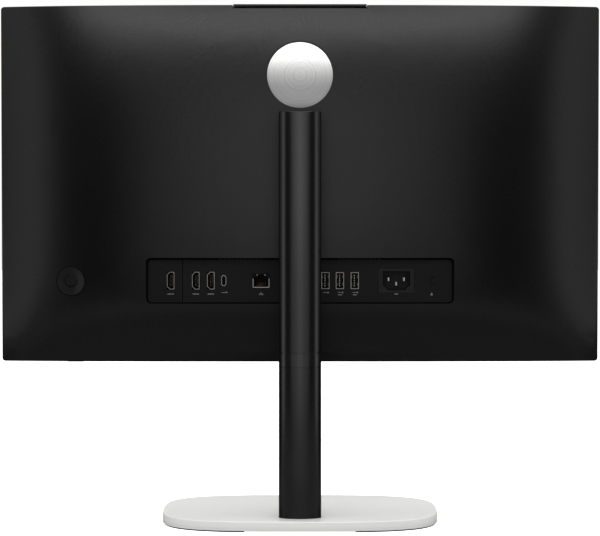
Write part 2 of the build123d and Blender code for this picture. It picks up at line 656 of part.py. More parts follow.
with BuildPart() as lock_slot_insert:
    slab((LOCK_X - 6, LOCK_X + 6), (PLATE_Y[0] - 1.8, PLATE_Y[0]), (PORT_Z - 9, PORT_Z + 9))
    with BuildSketch(facing(PLATE_Y[0] - 3)):
        with Locations((LOCK_X, PORT_Z)):
            SlotOverall(LOCK_SIZE[1] - 0.6, LOCK_SIZE[0] - 0.6, rotation=90)
    extrude(amount=-6, mode=Mode.SUBTRACT)
finish(lock_slot_insert.part, "lock_slot_insert")

# ---------------------------------------------------------------- badge, power button, pad
with BuildPart() as badge_disc:
    with BuildSketch(badge_plane.offset(-0.98)):
        Circle(BADGE_R)
    extrude(amount=1.5)
    fillet(badge_disc.faces().sort_by(Axis.Y)[-1].edges(), 0.35)
finish(badge_disc.part, "badge_disc")

DISH_DEPTH = 1.6
DISH_SPHERE = (12.4 ** 2 + DISH_DEPTH ** 2) / (2 * DISH_DEPTH)
BUTTON_TRAVEL = 1.5

with BuildPart() as power_dish:
    with BuildSketch(dish_plane.offset(-5)):
        Circle(DISH_R)
        Circle(BUTTON_R + 0.35, mode=Mode.SUBTRACT)
    extrude(amount=5)
    with Locations(dish_plane.offset(DISH_SPHERE - DISH_DEPTH).location):
        Sphere(DISH_SPHERE, mode=Mode.SUBTRACT)
finish(power_dish.part, "power_dish")

with BuildPart() as power_button:
    with BuildSketch(dish_plane.offset(-6.8)):
        Circle(BUTTON_R)
    extrude(amount=6.2)
    fillet(power_button.faces().sort_by(Axis.Y)[-1].edges(), 0.9)
    with BuildSketch(dish_plane.offset(-6.8)):
        Circle(BUTTON_R + 1.6)
    extrude(amount=1.2)
finish(power_button.part, "power_button")

with BuildPart() as power_switch:
    with BuildSketch(dish_plane.offset(-6.8 - BUTTON_TRAVEL - 0.6)):
        Rectangle(6, 6)
    extrude(amount=-3)
    with BuildSketch(dish_plane.offset(-11.9)):
        Rectangle(20, 16)
    extrude(amount=-1.6)
    slab((197, 209), (CHASSIS_Y[1], -25.5), (207, 217))
finish(power_switch.part, "power_switch")

with BuildPart() as bottom_pad:
    slab((196.0, 210.5), (-33.5, -29.5), (HEAD_BOTTOM - 0.5, HEAD_BOTTOM))
finish(bottom_pad.part, "bottom_pad")

# ---------------------------------------------------------------- electronics
with BuildPart() as main_board:
    slab((-62, 126), BOARD_Y, (186, 240))
    slab((36, 170), BOARD_Y, (240, 340))
    with BuildSketch(facing(BOARD_Y[0] - 1)):
        with Locations(BOARD_POSTS):
            Circle(1.8)
    extrude(amount=-4, mode=Mode.SUBTRACT)
finish(main_board.part, "main_board")

with BuildPart() as board_screws:
    with BuildSketch(facing(BOARD_Y[1])):
        with Locations(BOARD_POSTS):
            Circle(2.8)
    extrude(amount=-1.6)
    with BuildSketch(facing(BOARD_Y[0] - 4)):
        with Locations(BOARD_POSTS):
            Circle(1.5)
    extrude(amount=-(BOARD_Y[1] - BOARD_Y[0] + 4))
finish(board_screws.part, "board_screws")

CHIP = (66.0, 290.0)
PLATE_TOP_Y = -20.4
PIPE_Y = -20.0

with BuildPart() as processor:
    slab((CHIP[0] - 18.5, CHIP[0] + 18.5), (BOARD_Y[1], BOARD_Y[1] + 2.9), (CHIP[1] - 18.5, CHIP[1] + 18.5))
finish(processor.part, "processor")

with BuildPart() as heat_pipes:
    slab((CHIP[0] - 21, CHIP[0] + 21), (BOARD_Y[1] + 2.95, PLATE_TOP_Y), (CHIP[1] - 25, CHIP[1] + 25))
    for x, z in ((60.0, 441.0), (72.0, 432.0)):
        with BuildLine(Plane.XZ.offset(-PIPE_Y)) as route:
            FilletPolyline((x, CHIP[1] - 22), (x, z), (167, z), radius=14)
        with BuildSketch(Plane((x, PIPE_Y, CHIP[1] - 22), z_dir=(0, 0, 1))):
            Circle(3.0)
        sweep(path=route.wire())
finish(heat_pipes.part, "heat_pipes")

FIN_X = (92.0, 166.0)
FIN_Y = (-31.0, -15.0)
FIN_Z = (426.0, 448.0)
FIN_PITCH = 3.0

with BuildPart() as fin_stack:
    slab(FIN_X, FIN_Y, FIN_Z)
    with BuildSketch(Plane.XY.offset(FIN_Z[0] - 1)):
        with Locations([(FIN_X[0] + 2.5 + FIN_PITCH * step, sum(FIN_Y) / 2) for step in range(24)]):
            Rectangle(FIN_PITCH - 0.6, FIN_Y[1] - FIN_Y[0] - 1.6)
    extrude(amount=FIN_Z[1] - FIN_Z[0] + 2, mode=Mode.SUBTRACT)
    for z in (441.0, 432.0):
        rod((130, PIPE_Y, z), 3.05, 90, turn=(0, 90, 0), mode=Mode.SUBTRACT)
finish(fin_stack.part, "fin_stack")

BLOWER = (130.0, 382.0)
BLOWER_HALF = 41.0
BLOWER_Y = (-33.6, -13.6)
CAVE_Y = (-32.0, -15.2)
ROTOR_R = 33.5

with BuildPart() as blower_housing:
    slab((BLOWER[0] - BLOWER_HALF, BLOWER[0] + BLOWER_HALF), BLOWER_Y,
         (BLOWER[1] - BLOWER_HALF, BLOWER[1] + BLOWER_HALF))
    with BuildSketch(facing(CAVE_Y[0])):
        with Locations(BLOWER):
            Circle(37.0)
        with Locations((BLOWER[0], BLOWER[1] + 30)):
            Rectangle(66, 60)
    extrude(amount=-(CAVE_Y[1] - CAVE_Y[0]), mode=Mode.SUBTRACT)
    with BuildSketch(facing(CAVE_Y[1] - 1)):
        with Locations(BLOWER):
            Circle(25.0)
    extrude(amount=-4, mode=Mode.SUBTRACT)
    with BuildSketch(facing(CAVE_Y[0])):
        with Locations(BLOWER):
            Circle(4.0)
            Circle(2.05, mode=Mode.SUBTRACT)
    extrude(amount=-2.0)
finish(blower_housing.part, "blower_housing")

with BuildPart() as blower_rotor:
    with BuildSketch(facing(CAVE_Y[0] + 2.6)):
        with Locations(BLOWER):
            Circle(ROTOR_R)
    extrude(amount=-1.2)
    with BuildSketch(facing(CAVE_Y[0] + 3.0)):
        with Locations(BLOWER):
            Circle(14.0)
            with PolarLocations(27.0, 22):
                Rectangle(12.5, 1.0, rotation=35)
    extrude(amount=-12.6)
    with BuildSketch(facing(CAVE_Y[0] + 0.3)):
        with Locations(BLOWER):
            Circle(2.0)
    extrude(amount=-4)
finish(blower_rotor.part, "blower_rotor")

with BuildPart() as memory_modules:
    for y in (-24.0, -20.4):
        slab((98, 167.6), (y, y + 1.2), (299, 329))
finish(memory_modules.part, "memory_modules")

with BuildPart() as storage_drive:
    slab((90, 170), (BOARD_Y[1] + 2, BOARD_Y[1] + 2.8), (270, 292))
    slab((94, 160), (BOARD_Y[1] + 2.8, BOARD_Y[1] + 4.2), (273, 289))
finish(storage_drive.part, "storage_drive")

with BuildPart() as wireless_card:
    slab((126, 156), (BOARD_Y[1] + 2, BOARD_Y[1] + 2.8), (244, 266))
    slab((130, 152), (BOARD_Y[1] + 2.8, BOARD_Y[1] + 4.4), (247, 263))
finish(wireless_card.part, "wireless_card")

with BuildPart() as power_supply:
    slab((-195, -66), (CHASSIS_Y[1], -14.4), (238, 330))
    chamfer(power_supply.faces().sort_by(Axis.Y)[-1].edges(), 1.5)
finish(power_supply.part, "power_supply")

for side, name in ((1, "speaker_left"), (-1, "speaker_right")):
    with BuildPart() as speaker:
        slab(sorted((side * 120, side * 200)), (CHASSIS_Y[1], -28.0), (150, 180))
        fillet(speaker.edges().filter_by(Axis.Y), 4)
        rod((side * 138, -27.4, 165), 11.5, 1.6, turn=(90, 0, 0))
    finish(speaker.part, name)

# ---------------------------------------------------------------- pop-up webcam
CAP_TOP = 459.75
CAP_BOTTOM = 457.95
CAM_X = 50.0
CAM_Y = (-33.0, -22.0)
CAM_Z = (428.0, CAP_BOTTOM)
LENS_Z = 449.0
GUIDE_GAP = 0.3

with BuildPart() as webcam_guide:
    wall = 1.4
    slab((-CAM_X - GUIDE_GAP - 6, CAM_X + GUIDE_GAP + 6), (CHASSIS_Y[1], CAM_Y[1] + GUIDE_GAP + wall), (424, 455.4))
    slab((-CAM_X - GUIDE_GAP, CAM_X + GUIDE_GAP), (CAM_Y[0] - GUIDE_GAP, CAM_Y[1] + GUIDE_GAP), (423, 457),
         mode=Mode.SUBTRACT)
finish(webcam_guide.part, "webcam_guide")

with BuildPart() as webcam_module:
    slab((-CAM_X, CAM_X), CAM_Y, CAM_Z)
    slab((-NOTCH_X + 0.5, NOTCH_X - 0.5), (SEAM_Y + 0.4, crown(NOTCH_X, HEAD_TOP) - 0.2), (CAP_BOTTOM, CAP_TOP))
    with Locations(Plane((0, CAM_Y[0], LENS_Z), z_dir=(0, -1, 0)).location):
        Hole(4.1, depth=2.0)
finish(webcam_module.part, "webcam_module")

with BuildPart() as webcam_lens:
    rod((0, CAM_Y[0] + 1.0, LENS_Z), 4.0, 1.9, turn=(90, 0, 0))
finish(webcam_lens.part, "webcam_lens")
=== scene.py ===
import json
from math import cos, pi, radians, sin

import bmesh
import bpy
from mathutils import Matrix, Vector


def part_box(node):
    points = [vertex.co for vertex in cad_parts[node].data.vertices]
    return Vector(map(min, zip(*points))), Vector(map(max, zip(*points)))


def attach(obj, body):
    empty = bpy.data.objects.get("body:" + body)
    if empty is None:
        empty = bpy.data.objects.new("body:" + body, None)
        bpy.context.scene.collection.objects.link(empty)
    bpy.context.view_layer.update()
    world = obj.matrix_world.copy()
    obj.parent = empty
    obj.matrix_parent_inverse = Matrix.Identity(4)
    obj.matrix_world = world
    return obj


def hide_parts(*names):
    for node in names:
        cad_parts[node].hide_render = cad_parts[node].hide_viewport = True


# All-in-one PC on a height-adjustable column stand, seen from behind.
# Metres, +Z up. The screen faces -Y and the ports face +Y.

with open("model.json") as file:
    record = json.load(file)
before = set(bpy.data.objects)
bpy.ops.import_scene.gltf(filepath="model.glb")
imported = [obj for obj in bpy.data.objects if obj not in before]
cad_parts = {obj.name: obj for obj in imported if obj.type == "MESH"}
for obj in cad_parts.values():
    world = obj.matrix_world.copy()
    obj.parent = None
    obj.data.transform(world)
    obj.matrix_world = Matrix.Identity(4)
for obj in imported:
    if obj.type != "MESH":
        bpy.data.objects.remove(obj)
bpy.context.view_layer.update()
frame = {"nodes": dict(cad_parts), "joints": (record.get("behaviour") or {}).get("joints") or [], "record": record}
NODES = frame["nodes"]
MM = 0.001


# ---------------------------------------------------------------- node helpers
# A noise is between these two nearly everywhere.
NOISE_LOW = 0.3
NOISE_HIGH = 0.7


class Shader:
    """A Principled material and short ways to add nodes to it."""

    def __init__(self, name, roughness=0.5, metallic=0.0, specular=0.5):
        self.material = bpy.data.materials.new("look_" + name)
        self.material.use_nodes = True
        self.tree = self.material.node_tree
        self.bsdf = self.tree.nodes["Principled BSDF"]
        self.set("Roughness", roughness)
        self.set("Metallic", metallic)
        self.set("Specular IOR Level", specular)
        self.coordinates = self.add("ShaderNodeTexCoord").outputs["Object"]

    def set(self, socket, value):
        self.bsdf.inputs[socket].default_value = value

    def add(self, kind, **values):
        node = self.tree.nodes.new(kind)
        for name, value in values.items():
            if name in node.inputs:
                node.inputs[name].default_value = value
            else:
                setattr(node, name, value)
        return node

    def link(self, output, target):
        self.tree.links.new(output, target)

    def stretched(self, scale):
        """Object coordinates scaled on each axis, for brushed or streaked patterns."""
        mapping = self.add("ShaderNodeMapping", Scale=scale)
        self.link(self.coordinates, mapping.inputs["Vector"])
        return mapping.outputs["Vector"]

    def noise(self, size, detail=3.0, vector=None):
        """Noise whose features are about size metres across."""
        node = self.add("ShaderNodeTexNoise", Scale=1 / size, Detail=detail)
        self.link(vector or self.coordinates, node.inputs["Vector"])
        return node.outputs["Fac"]

    def cells(self, size):
        """Distance within small cells, for leather-like mould grain."""
        node = self.add("ShaderNodeTexVoronoi", Scale=1 / size)
        self.link(self.coordinates, node.inputs["Vector"])
        return node.outputs["Distance"]

    def ramp(self, factor, low, high, start=NOISE_LOW, end=NOISE_HIGH):
        """A colour between low and high as factor goes from start to end."""
        node = self.add("ShaderNodeValToRGB")
        node.color_ramp.elements[0].position = start
        node.color_ramp.elements[0].color = (*low, 1)
        node.color_ramp.elements[1].position = end
        node.color_ramp.elements[1].color = (*high, 1)
        self.link(factor, node.inputs["Fac"])
        return node.outputs["Color"]

    def span(self, factor, low, high):
        """A number between low and high as a noise goes over its usual span."""
        node = self.add("ShaderNodeMapRange")
        node.inputs["From Min"].default_value = NOISE_LOW
        node.inputs["From Max"].default_value = NOISE_HIGH
        node.inputs["To Min"].default_value = low
        node.inputs["To Max"].default_value = high
        self.link(factor, node.inputs["Value"])
        return node.outputs["Result"]

    def colour(self, output):
        self.link(output, self.bsdf.inputs["Base Color"])

    def rough(self, output):
        self.link(output, self.bsdf.inputs["Roughness"])

    def bump(self, height, depth):
        """Relief of a height from 0 to 1 that stands depth metres high."""
        node = self.add("ShaderNodeBump", Strength=1.0, Distance=depth)
        self.link(height, node.inputs["Height"])
        self.link(node.outputs["Normal"], self.bsdf.inputs["Normal"])


def shaded(tone, factor):
    """A tone made darker or paler by a factor, no brighter than white."""
    return [min(level * factor, 1) for level in tone]


# ---------------------------------------------------------------- materials
def grained_plastic(name, tone, roughness, grain, depth, specular=0.5):
    """Moulded plastic: spark-eroded grain over a slow variation in tone and gloss."""
    shader = Shader(name, specular=specular)
    patches = shader.noise(30 * MM)
    shader.colour(shader.ramp(patches, shaded(tone, 0.9), shaded(tone, 1.1)))
    speckle = shader.noise(grain, detail=2.0)
    shader.rough(shader.span(speckle, roughness - 0.02, roughness + 0.02))
    shader.bump(speckle, depth)
    return shader.material


def silver_paint(name, tone, roughness):
    """Satin silver paint: fine metal flake under a clear film, with a faint orange peel."""
    shader = Shader(name, metallic=0.12, specular=0.4)
    flake = shader.noise(0.25 * MM, detail=1.0)
    shader.colour(shader.ramp(flake, shaded(tone, 0.975), shaded(tone, 1.02)))
    shader.rough(shader.span(shader.noise(2 * MM), roughness - 0.04, roughness + 0.04))
    shader.bump(shader.noise(1.6 * MM, detail=1.0), 0.004 * MM)
    return shader.material


def brushed_metal(name, tone, roughness, lie):
    """Metal with scratches drawn along one axis; lie is the axis index."""
    shader = Shader(name, metallic=1.0)
    scale = [1.0, 1.0, 1.0]
    scale[lie] = 0.02
    streak = shader.noise(0.2 * MM, vector=shader.stretched(scale))
    shader.colour(shader.ramp(streak, shaded(tone, 0.85), tone))
    shader.rough(shader.span(streak, roughness - 0.05, roughness + 0.05))
    shader.bump(streak, 0.003 * MM)
    return shader.material


def zinc_sheet(name, tone):
    """Zinc-plated steel with a soft spangle."""
    shader = Shader(name, metallic=0.9)
    shader.colour(shader.ramp(shader.cells(6 * MM), shaded(tone, 0.8), tone, 0.1, 0.8))
    shader.rough(shader.span(shader.noise(3 * MM), 0.32, 0.48))
    return shader.material


def rubber(name, tone):
    """Matt rubber with a powdery bloom."""
    shader = Shader(name, specular=0.25)
    dust = shader.noise(1.5 * MM)
    shader.colour(shader.ramp(dust, tone, shaded(tone, 1.6)))
    shader.rough(shader.span(dust, 0.72, 0.88))
    shader.bump(shader.noise(0.3 * MM), 0.02 * MM)
    return shader.material


def powder_coat(name, tone):
    """Black powder coat over a casting, with its pebbled skin."""
    shader = Shader(name, specular=0.45)
    pebble = shader.cells(0.7 * MM)
    shader.colour(shader.ramp(pebble, shaded(tone, 0.8), shaded(tone, 1.2)))
    shader.rough(shader.span(shader.noise(4 * MM), 0.42, 0.56))
    shader.bump(pebble, 0.03 * MM)
    return shader.material


def solder_mask(name, tone):
    """Green board with copper tracks showing faintly through the mask."""
    shader = Shader(name, specular=0.5)
    tracks = shader.add("ShaderNodeTexBrick", Scale=260.0)
    tracks.inputs["Color1"].default_value = (*tone, 1)
    tracks.inputs["Color2"].default_value = (tone[0] * 1.5, tone[1] * 1.25, tone[2] * 1.2, 1)
    tracks.inputs["Mortar"].default_value = (*shaded(tone, 0.6), 1)
    turned = shader.add("ShaderNodeMapping")
    turned.inputs["Rotation"].default_value = (radians(90), 0, 0)
    shader.link(shader.coordinates, turned.inputs["Vector"])
    shader.link(turned.outputs["Vector"], tracks.inputs["Vector"])
    shader.colour(tracks.outputs["Color"])
    shader.rough(shader.span(shader.noise(5 * MM), 0.3, 0.42))
    shader.bump(tracks.outputs["Fac"], 0.02 * MM)
    return shader.material


def dark_glass(name, tone, roughness):
    """Anti-glare glass: a fine etched haze and a slow variation in depth."""
    shader = Shader(name, specular=0.5)
    haze = shader.noise(0.15 * MM, detail=1.0)
    shader.colour(shader.ramp(shader.noise(40 * MM), shaded(tone, 0.9), shaded(tone, 1.1)))
    shader.rough(shader.span(haze, roughness - 0.015, roughness + 0.015))
    shader.bump(haze, 0.001 * MM)
    return shader.material


# Pale silver painted at the badge's top: a painted reflection.
PAINTED_REFLECTION_TONE = (0.98, 0.98, 0.97)
RING_CONTRAST = 0.06


def disc_metal(name, tone, roughness, centre, reach):
    """Silver disc spun on a lathe: fine rings about its centre, painted paler towards its top as a reflection."""
    shader = Shader(name, metallic=0.7)
    offset = shader.add("ShaderNodeVectorMath", operation="SUBTRACT")
    shader.link(shader.coordinates, offset.inputs[0])
    offset.inputs[1].default_value = centre
    distance = shader.add("ShaderNodeVectorMath", operation="LENGTH")
    shader.link(offset.outputs["Vector"], distance.inputs[0])
    rings = shader.add("ShaderNodeTexNoise", noise_dimensions="1D", Scale=2400.0, Detail=2.0)
    shader.link(distance.outputs["Value"], rings.inputs["W"])
    height = shader.add("ShaderNodeSeparateXYZ")
    shader.link(offset.outputs["Vector"], height.inputs["Vector"])
    # Painted reflection: this share grows towards the badge's top and pales its silver.
    share = shader.add("ShaderNodeMapRange", interpolation_type="SMOOTHSTEP")
    share.inputs["From Min"].default_value = -0.5 * reach
    share.inputs["From Max"].default_value = 0.75 * reach
    shader.link(height.outputs["Z"], share.inputs["Value"])
    rings_over_painted_reflection = shader.add("ShaderNodeMath", operation="MULTIPLY_ADD")
    shader.link(rings.outputs["Fac"], rings_over_painted_reflection.inputs[0])
    rings_over_painted_reflection.inputs[1].default_value = RING_CONTRAST
    shader.link(share.outputs["Result"], rings_over_painted_reflection.inputs[2])
    shader.colour(shader.ramp(rings_over_painted_reflection.outputs["Value"], tone, PAINTED_REFLECTION_TONE, 0.0, 1.0))
    shader.rough(shader.span(rings.outputs["Fac"], roughness - 0.03, roughness + 0.03))
    shader.bump(rings.outputs["Fac"], 0.001 * MM)
    return shader.material


def printed_ink(name, tone):
    """Pale printed marks with a slightly broken edge."""
    shader = Shader(name, specular=0.3)
    worn = shader.noise(0.4 * MM)
    shader.colour(shader.ramp(worn, shaded(tone, 0.75), tone))
    shader.rough(shader.span(worn, 0.5, 0.65))
    return shader.material


def floor_white(name):
    """A pale studio sweep that holds its own brightness, with a trace of unevenness."""
    shader = Shader(name, roughness=0.9, specular=0.0)
    shader.colour(shader.ramp(shader.noise(0.6), (0.86, 0.86, 0.86), (0.9, 0.9, 0.9)))
    shader.set("Emission Color", (1, 1, 1, 1))
    shader.set("Emission Strength", 0.9)
    return shader.material


BADGE_LOW, BADGE_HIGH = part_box("badge_disc")
BADGE_CENTRE = (BADGE_LOW + BADGE_HIGH) / 2
BADGE_REACH = (BADGE_HIGH.x - BADGE_LOW.x) / 2

# How each slot is made: the material's function, its tone, its roughness and what else it takes.
# A brushed metal takes the index of its grain's axis. A grained plastic takes the size and depth
# of its grain and, where it isn't 0.5, its specular level.
LOOK_SETTINGS = {
    "base_silver": (silver_paint, (0.80, 0.80, 0.785), 0.42),
    "steel_plain": (brushed_metal, (0.50, 0.51, 0.52), 0.45, 0),
    "underside_black": (grained_plastic, (0.02, 0.02, 0.021), 0.55, 0.5 * MM, 0.02 * MM),
    "foot_rubber": (rubber, (0.012, 0.012, 0.012)),
    "column_black": (grained_plastic, (0.002, 0.002, 0.002), 0.25, 0.35 * MM, 0.002 * MM, 1.0),
    "ring_gloss": (grained_plastic, (0.006, 0.006, 0.006), 0.2, 0.3 * MM, 0.0005 * MM, 0.9),
    "spring_steel": (brushed_metal, (0.42, 0.43, 0.46), 0.3, 2),
    "slide_polymer": (grained_plastic, (0.7, 0.69, 0.65), 0.5, 0.6 * MM, 0.01 * MM),
    "cast_black": (powder_coat, (0.012, 0.012, 0.0125)),
    "cover_black": (grained_plastic, (0.002, 0.002, 0.002), 0.28, 0.4 * MM, 0.002 * MM),
    "plate_black": (grained_plastic, (0.003, 0.003, 0.003), 0.42, 0.35 * MM, 0.004 * MM, 0.2),
    "port_metal": (brushed_metal, (0.50, 0.49, 0.46), 0.32, 2),
    "port_insert": (grained_plastic, (0.002, 0.002, 0.002), 0.5, 0.3 * MM, 0.006 * MM, 0.15),
    "pin_metal": (brushed_metal, (0.78, 0.76, 0.7), 0.3, 1),
    # The badge's silver is painted paler towards its top as a reflection.
    "badge_silver": (disc_metal, (0.36, 0.36, 0.36), 0.30, BADGE_CENTRE, BADGE_REACH),
    "dish_black": (grained_plastic, (0.003, 0.003, 0.003), 0.36, 0.3 * MM, 0.001 * MM, 0.4),
    "glass_dark": (dark_glass, (0.010, 0.010, 0.012), 0.16),
    "panel_dark": (dark_glass, (0.03, 0.03, 0.034), 0.3),
    "panel_white": (grained_plastic, (0.8, 0.8, 0.8), 0.6, 1 * MM, 0.005 * MM),
    "chassis_zinc": (zinc_sheet, (0.5, 0.51, 0.52)),
    "board_green": (solder_mask, (0.02, 0.09, 0.045)),
    "chip_dark": (grained_plastic, (0.03, 0.03, 0.033), 0.5, 0.3 * MM, 0.006 * MM),
    "copper": (brushed_metal, (0.75, 0.36, 0.2), 0.3, 0),
    "fin_aluminium": (brushed_metal, (0.77, 0.77, 0.78), 0.35, 2),
    "lens_glass": (dark_glass, (0.01, 0.01, 0.02), 0.08),
    "foam_black": (rubber, (0.0006, 0.0006, 0.0006)),
    "contact_gold": (brushed_metal, (0.75, 0.52, 0.24), 0.3, 1),
    "slot_black": (grained_plastic, (0.001, 0.001, 0.001), 0.6, 0.3 * MM, 0.004 * MM, 0.05),
    "inlet_black": (grained_plastic, (0.004, 0.004, 0.004), 0.45, 0.3 * MM, 0.004 * MM, 0.3),
}
LOOKS = {name: make(name, *settings) for name, (make, *settings) in LOOK_SETTINGS.items()}
INK = printed_ink("print_ink", (0.16, 0.16, 0.16))

# Nodes whose surface differs from the rest of their slot.
OWN_LOOKS = {
    "lock_slot_insert": "slot_black",
    "power_inlet": "inlet_black",
}


def dress_cad_nodes():
    """Gives each carried-over CAD node its own look, or the look of its slot."""
    for part in frame["record"]["subparts"]:
        node = NODES[part["node"]]
        look = OWN_LOOKS.get(part["node"], part["material_slot"])
        for place in node.material_slots:
            place.material = LOOKS[look]
    # The pale base would show as a bright patch along the cover's lower edge.
    NODES["base_shell"].visible_glossy = False


# ---------------------------------------------------------------- piece helpers
def piece(name, shape, look, body):
    """A finished mesh from a bmesh, dressed, riding on its body."""
    mesh = bpy.data.meshes.new(name)
    shape.to_mesh(mesh)
    shape.free()
    made = bpy.data.objects.new(name, mesh)
    bpy.context.scene.collection.objects.link(made)
    mesh.materials.append(look)
    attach(made, body)
    return made


def block(shape, low, high, bevel=0.0):
    """A box between two corners, its edges broken by a bevel."""
    low = Vector(low)
    high = Vector(high)
    size = high - low
    place = Matrix.Translation((low + high) / 2) @ Matrix.Diagonal((*size, 1))
    corners = bmesh.ops.create_cube(shape, size=1, matrix=place)["verts"]
    if bevel > 0:
        edges = list({edge for corner in corners for edge in corner.link_edges})
        bmesh.ops.bevel(shape, geom=edges, offset=bevel, segments=2, affect="EDGES", profile=0.5)


def flat_ring(shape, outline, y):
    """Points of an (x, z) outline at one depth."""
    return [shape.verts.new((x, y, z)) for x, z in outline]


def tilted_ring(shape, centre, across, up, radius, steps):
    """Points of a circle in the plane of two directions."""
    turns = [2 * pi * step / steps for step in range(steps)]
    return [shape.verts.new(centre + radius * (cos(turn) * across + sin(turn) * up)) for turn in turns]


def bridge(shape, rings):
    """Four-sided faces from each ring of points to the next."""
    for ring, following in zip(rings, rings[1:]):
        for index in range(len(ring)):
            after = (index + 1) % len(ring)
            shape.faces.new((ring[index], ring[after], following[after], following[index]))


def capped(shape, rings):
    """A closed solid through rings of points, with a flat face on each end."""
    bridge(shape, rings)
    shape.faces.new(rings[0])
    shape.faces.new(list(reversed(rings[-1])))


def hoop(shape, rings):
    """A closed band through rings of points, the last joined to the first."""
    bridge(shape, rings + rings[:1])


def prism(shape, outline, rear, front):
    """A flat piece with an (x, z) outline between two depths."""
    capped(shape, [flat_ring(shape, outline, rear), flat_ring(shape, outline, front)])


def round_outline(centre, radius, steps=20):
    """Points of a circle in x and z."""
    turns = [2 * pi * step / steps for step in range(steps)]
    return [(centre[0] + radius * cos(turn), centre[1] + radius * sin(turn)) for turn in turns]


def rounded_outline(across, up, radius, steps=8):
    """Points of a rounded rectangle in x and z."""
    points = []
    corners = ((across[1], up[1]), (across[0], up[1]), (across[0], up[0]), (across[1], up[0]))
    for quarter, (x, z) in enumerate(corners):
        middle_x = x - radius if x == across[1] else x + radius
        middle_z = z - radius if z == up[1] else z + radius
        for step in range(steps + 1):
            turn = (quarter + step / steps) * pi / 2
            points.append((middle_x + radius * cos(turn), middle_z + radius * sin(turn)))
    return points


def finished(shape):
    """The bmesh with every face turned outwards."""
    bmesh.ops.recalc_face_normals(shape, faces=shape.faces)
    return shape


# ---------------------------------------------------------------- port details
PORT_Z = 212.9 * MM
VIDEO_X = (115.9 * MM, 93.4 * MM, 79.9 * MM)
USB_C_X = 68.3 * MM
USB_A_X = (-22.8 * MM, -35.8 * MM, -49.1 * MM)
NETWORK_X = 34.9 * MM
INLET_X = -86.3 * MM
LOCK_X = -118.0 * MM
SHELL_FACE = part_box("video_ports")[1].y
TONGUE_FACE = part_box("port_tongues")[1].y
PLATE_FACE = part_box("io_plate")[1].y
MARK_Z = 200.9 * MM
MARK_T = 0.05 * MM
USB_CONTACT_PITCH = 2.3 * MM
USB_SPRING_OUT = 2.65 * MM
USB_SPRING_UP = 3.4 * MM
VIDEO_CONTACTS = 19
VIDEO_CONTACT_PITCH = 0.54 * MM
VIDEO_TONGUE_OFF = 0.6 * MM
VIDEO_TONGUE_HALF = 1.05 * MM
NETWORK_WIRES = 8
NETWORK_WIRE_PITCH = 1.02 * MM
# One wire's side view: depth behind the socket's face and height over its floor, in millimetres.
NETWORK_WIRE = ((1.0, 1.5), (3.2, 4.4), (12.5, 5.4), (12.5, 5.1), (3.4, 4.0), (1.2, 1.2))


def usb_contacts():
    """Five sprung contacts along the tongue of each upright USB socket."""
    shape = bmesh.new()
    for x in USB_A_X:
        for step in range(-2, 3):
            z = PORT_Z + step * USB_CONTACT_PITCH
            low = (x + 0.1 * MM, TONGUE_FACE - 6 * MM, z - 0.55 * MM)
            high = (x + 0.75 * MM, TONGUE_FACE + 0.5 * MM, z + 0.55 * MM)
            block(shape, low, high, 0.1 * MM)
    piece("usb_contacts", finished(shape), LOOKS["pin_metal"], "head")


def usb_springs():
    """The pressed tabs in both long walls of each USB shell."""
    shape = bmesh.new()
    for x in USB_A_X:
        for side in (-1, 1):
            wall = x + side * USB_SPRING_OUT
            for step in (-1, 1):
                z = PORT_Z + step * USB_SPRING_UP
                low = (wall - 0.3 * MM, SHELL_FACE - 7 * MM, z - 1.0 * MM)
                high = (wall + 0.3 * MM, SHELL_FACE - 0.7 * MM, z + 1.0 * MM)
                block(shape, low, high, 0.12 * MM)
    piece("usb_springs", finished(shape), LOOKS["port_metal"], "head")


def video_contacts():
    """Fine contacts down both faces of each video tongue."""
    shape = bmesh.new()
    for x in VIDEO_X:
        for step in range(VIDEO_CONTACTS):
            z = PORT_Z + (step - VIDEO_CONTACTS // 2) * VIDEO_CONTACT_PITCH
            side = 1 if step % 2 else -1
            face = x - VIDEO_TONGUE_OFF + side * VIDEO_TONGUE_HALF
            low = (face - 0.1 * MM, TONGUE_FACE - 6 * MM, z - 0.14 * MM)
            high = (face + 0.1 * MM, TONGUE_FACE + 0.05 * MM, z + 0.14 * MM)
            block(shape, low, high, 0.03 * MM)
    piece("video_contacts", finished(shape), LOOKS["contact_gold"], "head")


def network_contacts():
    """Eight gold wires that rise from the floor of the network socket."""
    shape = bmesh.new()
    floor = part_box("network_port")[0].z
    for step in range(NETWORK_WIRES):
        middle = NETWORK_X + (step - (NETWORK_WIRES - 1) / 2) * NETWORK_WIRE_PITCH
        sides = []
        for x in (middle - 0.22 * MM, middle + 0.22 * MM):
            sides.append([shape.verts.new((x, SHELL_FACE - depth * MM, floor + height * MM))
                          for depth, height in NETWORK_WIRE])
        capped(shape, sides)
    piece("network_contacts", finished(shape), LOOKS["contact_gold"], "head")


def network_shield_tabs():
    """Two bright spring fingers beside the latch notch."""
    shape = bmesh.new()
    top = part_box("network_port")[1].z
    for side in (-1, 1):
        x = NETWORK_X + side * 3.5 * MM
        low = (x - 0.45 * MM, SHELL_FACE - 5 * MM, top - 1.7 * MM)
        high = (x + 0.45 * MM, SHELL_FACE - 0.1 * MM, top - 0.5 * MM)
        block(shape, low, high, 0.12 * MM)
    piece("network_tabs", finished(shape), LOOKS["port_metal"], "head")


def port_outline(centre_x, size, corner, bevel):
    """An upright port's outline: small corners on its -X side, bevelled ones on its +X side."""
    left, right = centre_x - size[0] / 2, centre_x + size[0] / 2
    low, high = PORT_Z - size[1] / 2, PORT_Z + size[1] / 2
    return [(left + corner, low), (right - bevel, low), (right, low + bevel),
            (right, high - bevel), (right - bevel, high), (left + corner, high),
            (left, high - corner), (left, low + corner)]


def cup(shape, outer, inner, face, depth, back):
    """A closed-backed sleeve between two outlines, open to the rear."""
    places = ((outer, face - back), (outer, face), (inner, face), (inner, face - depth))
    capped(shape, [flat_ring(shape, outline, y) for outline, y in places])
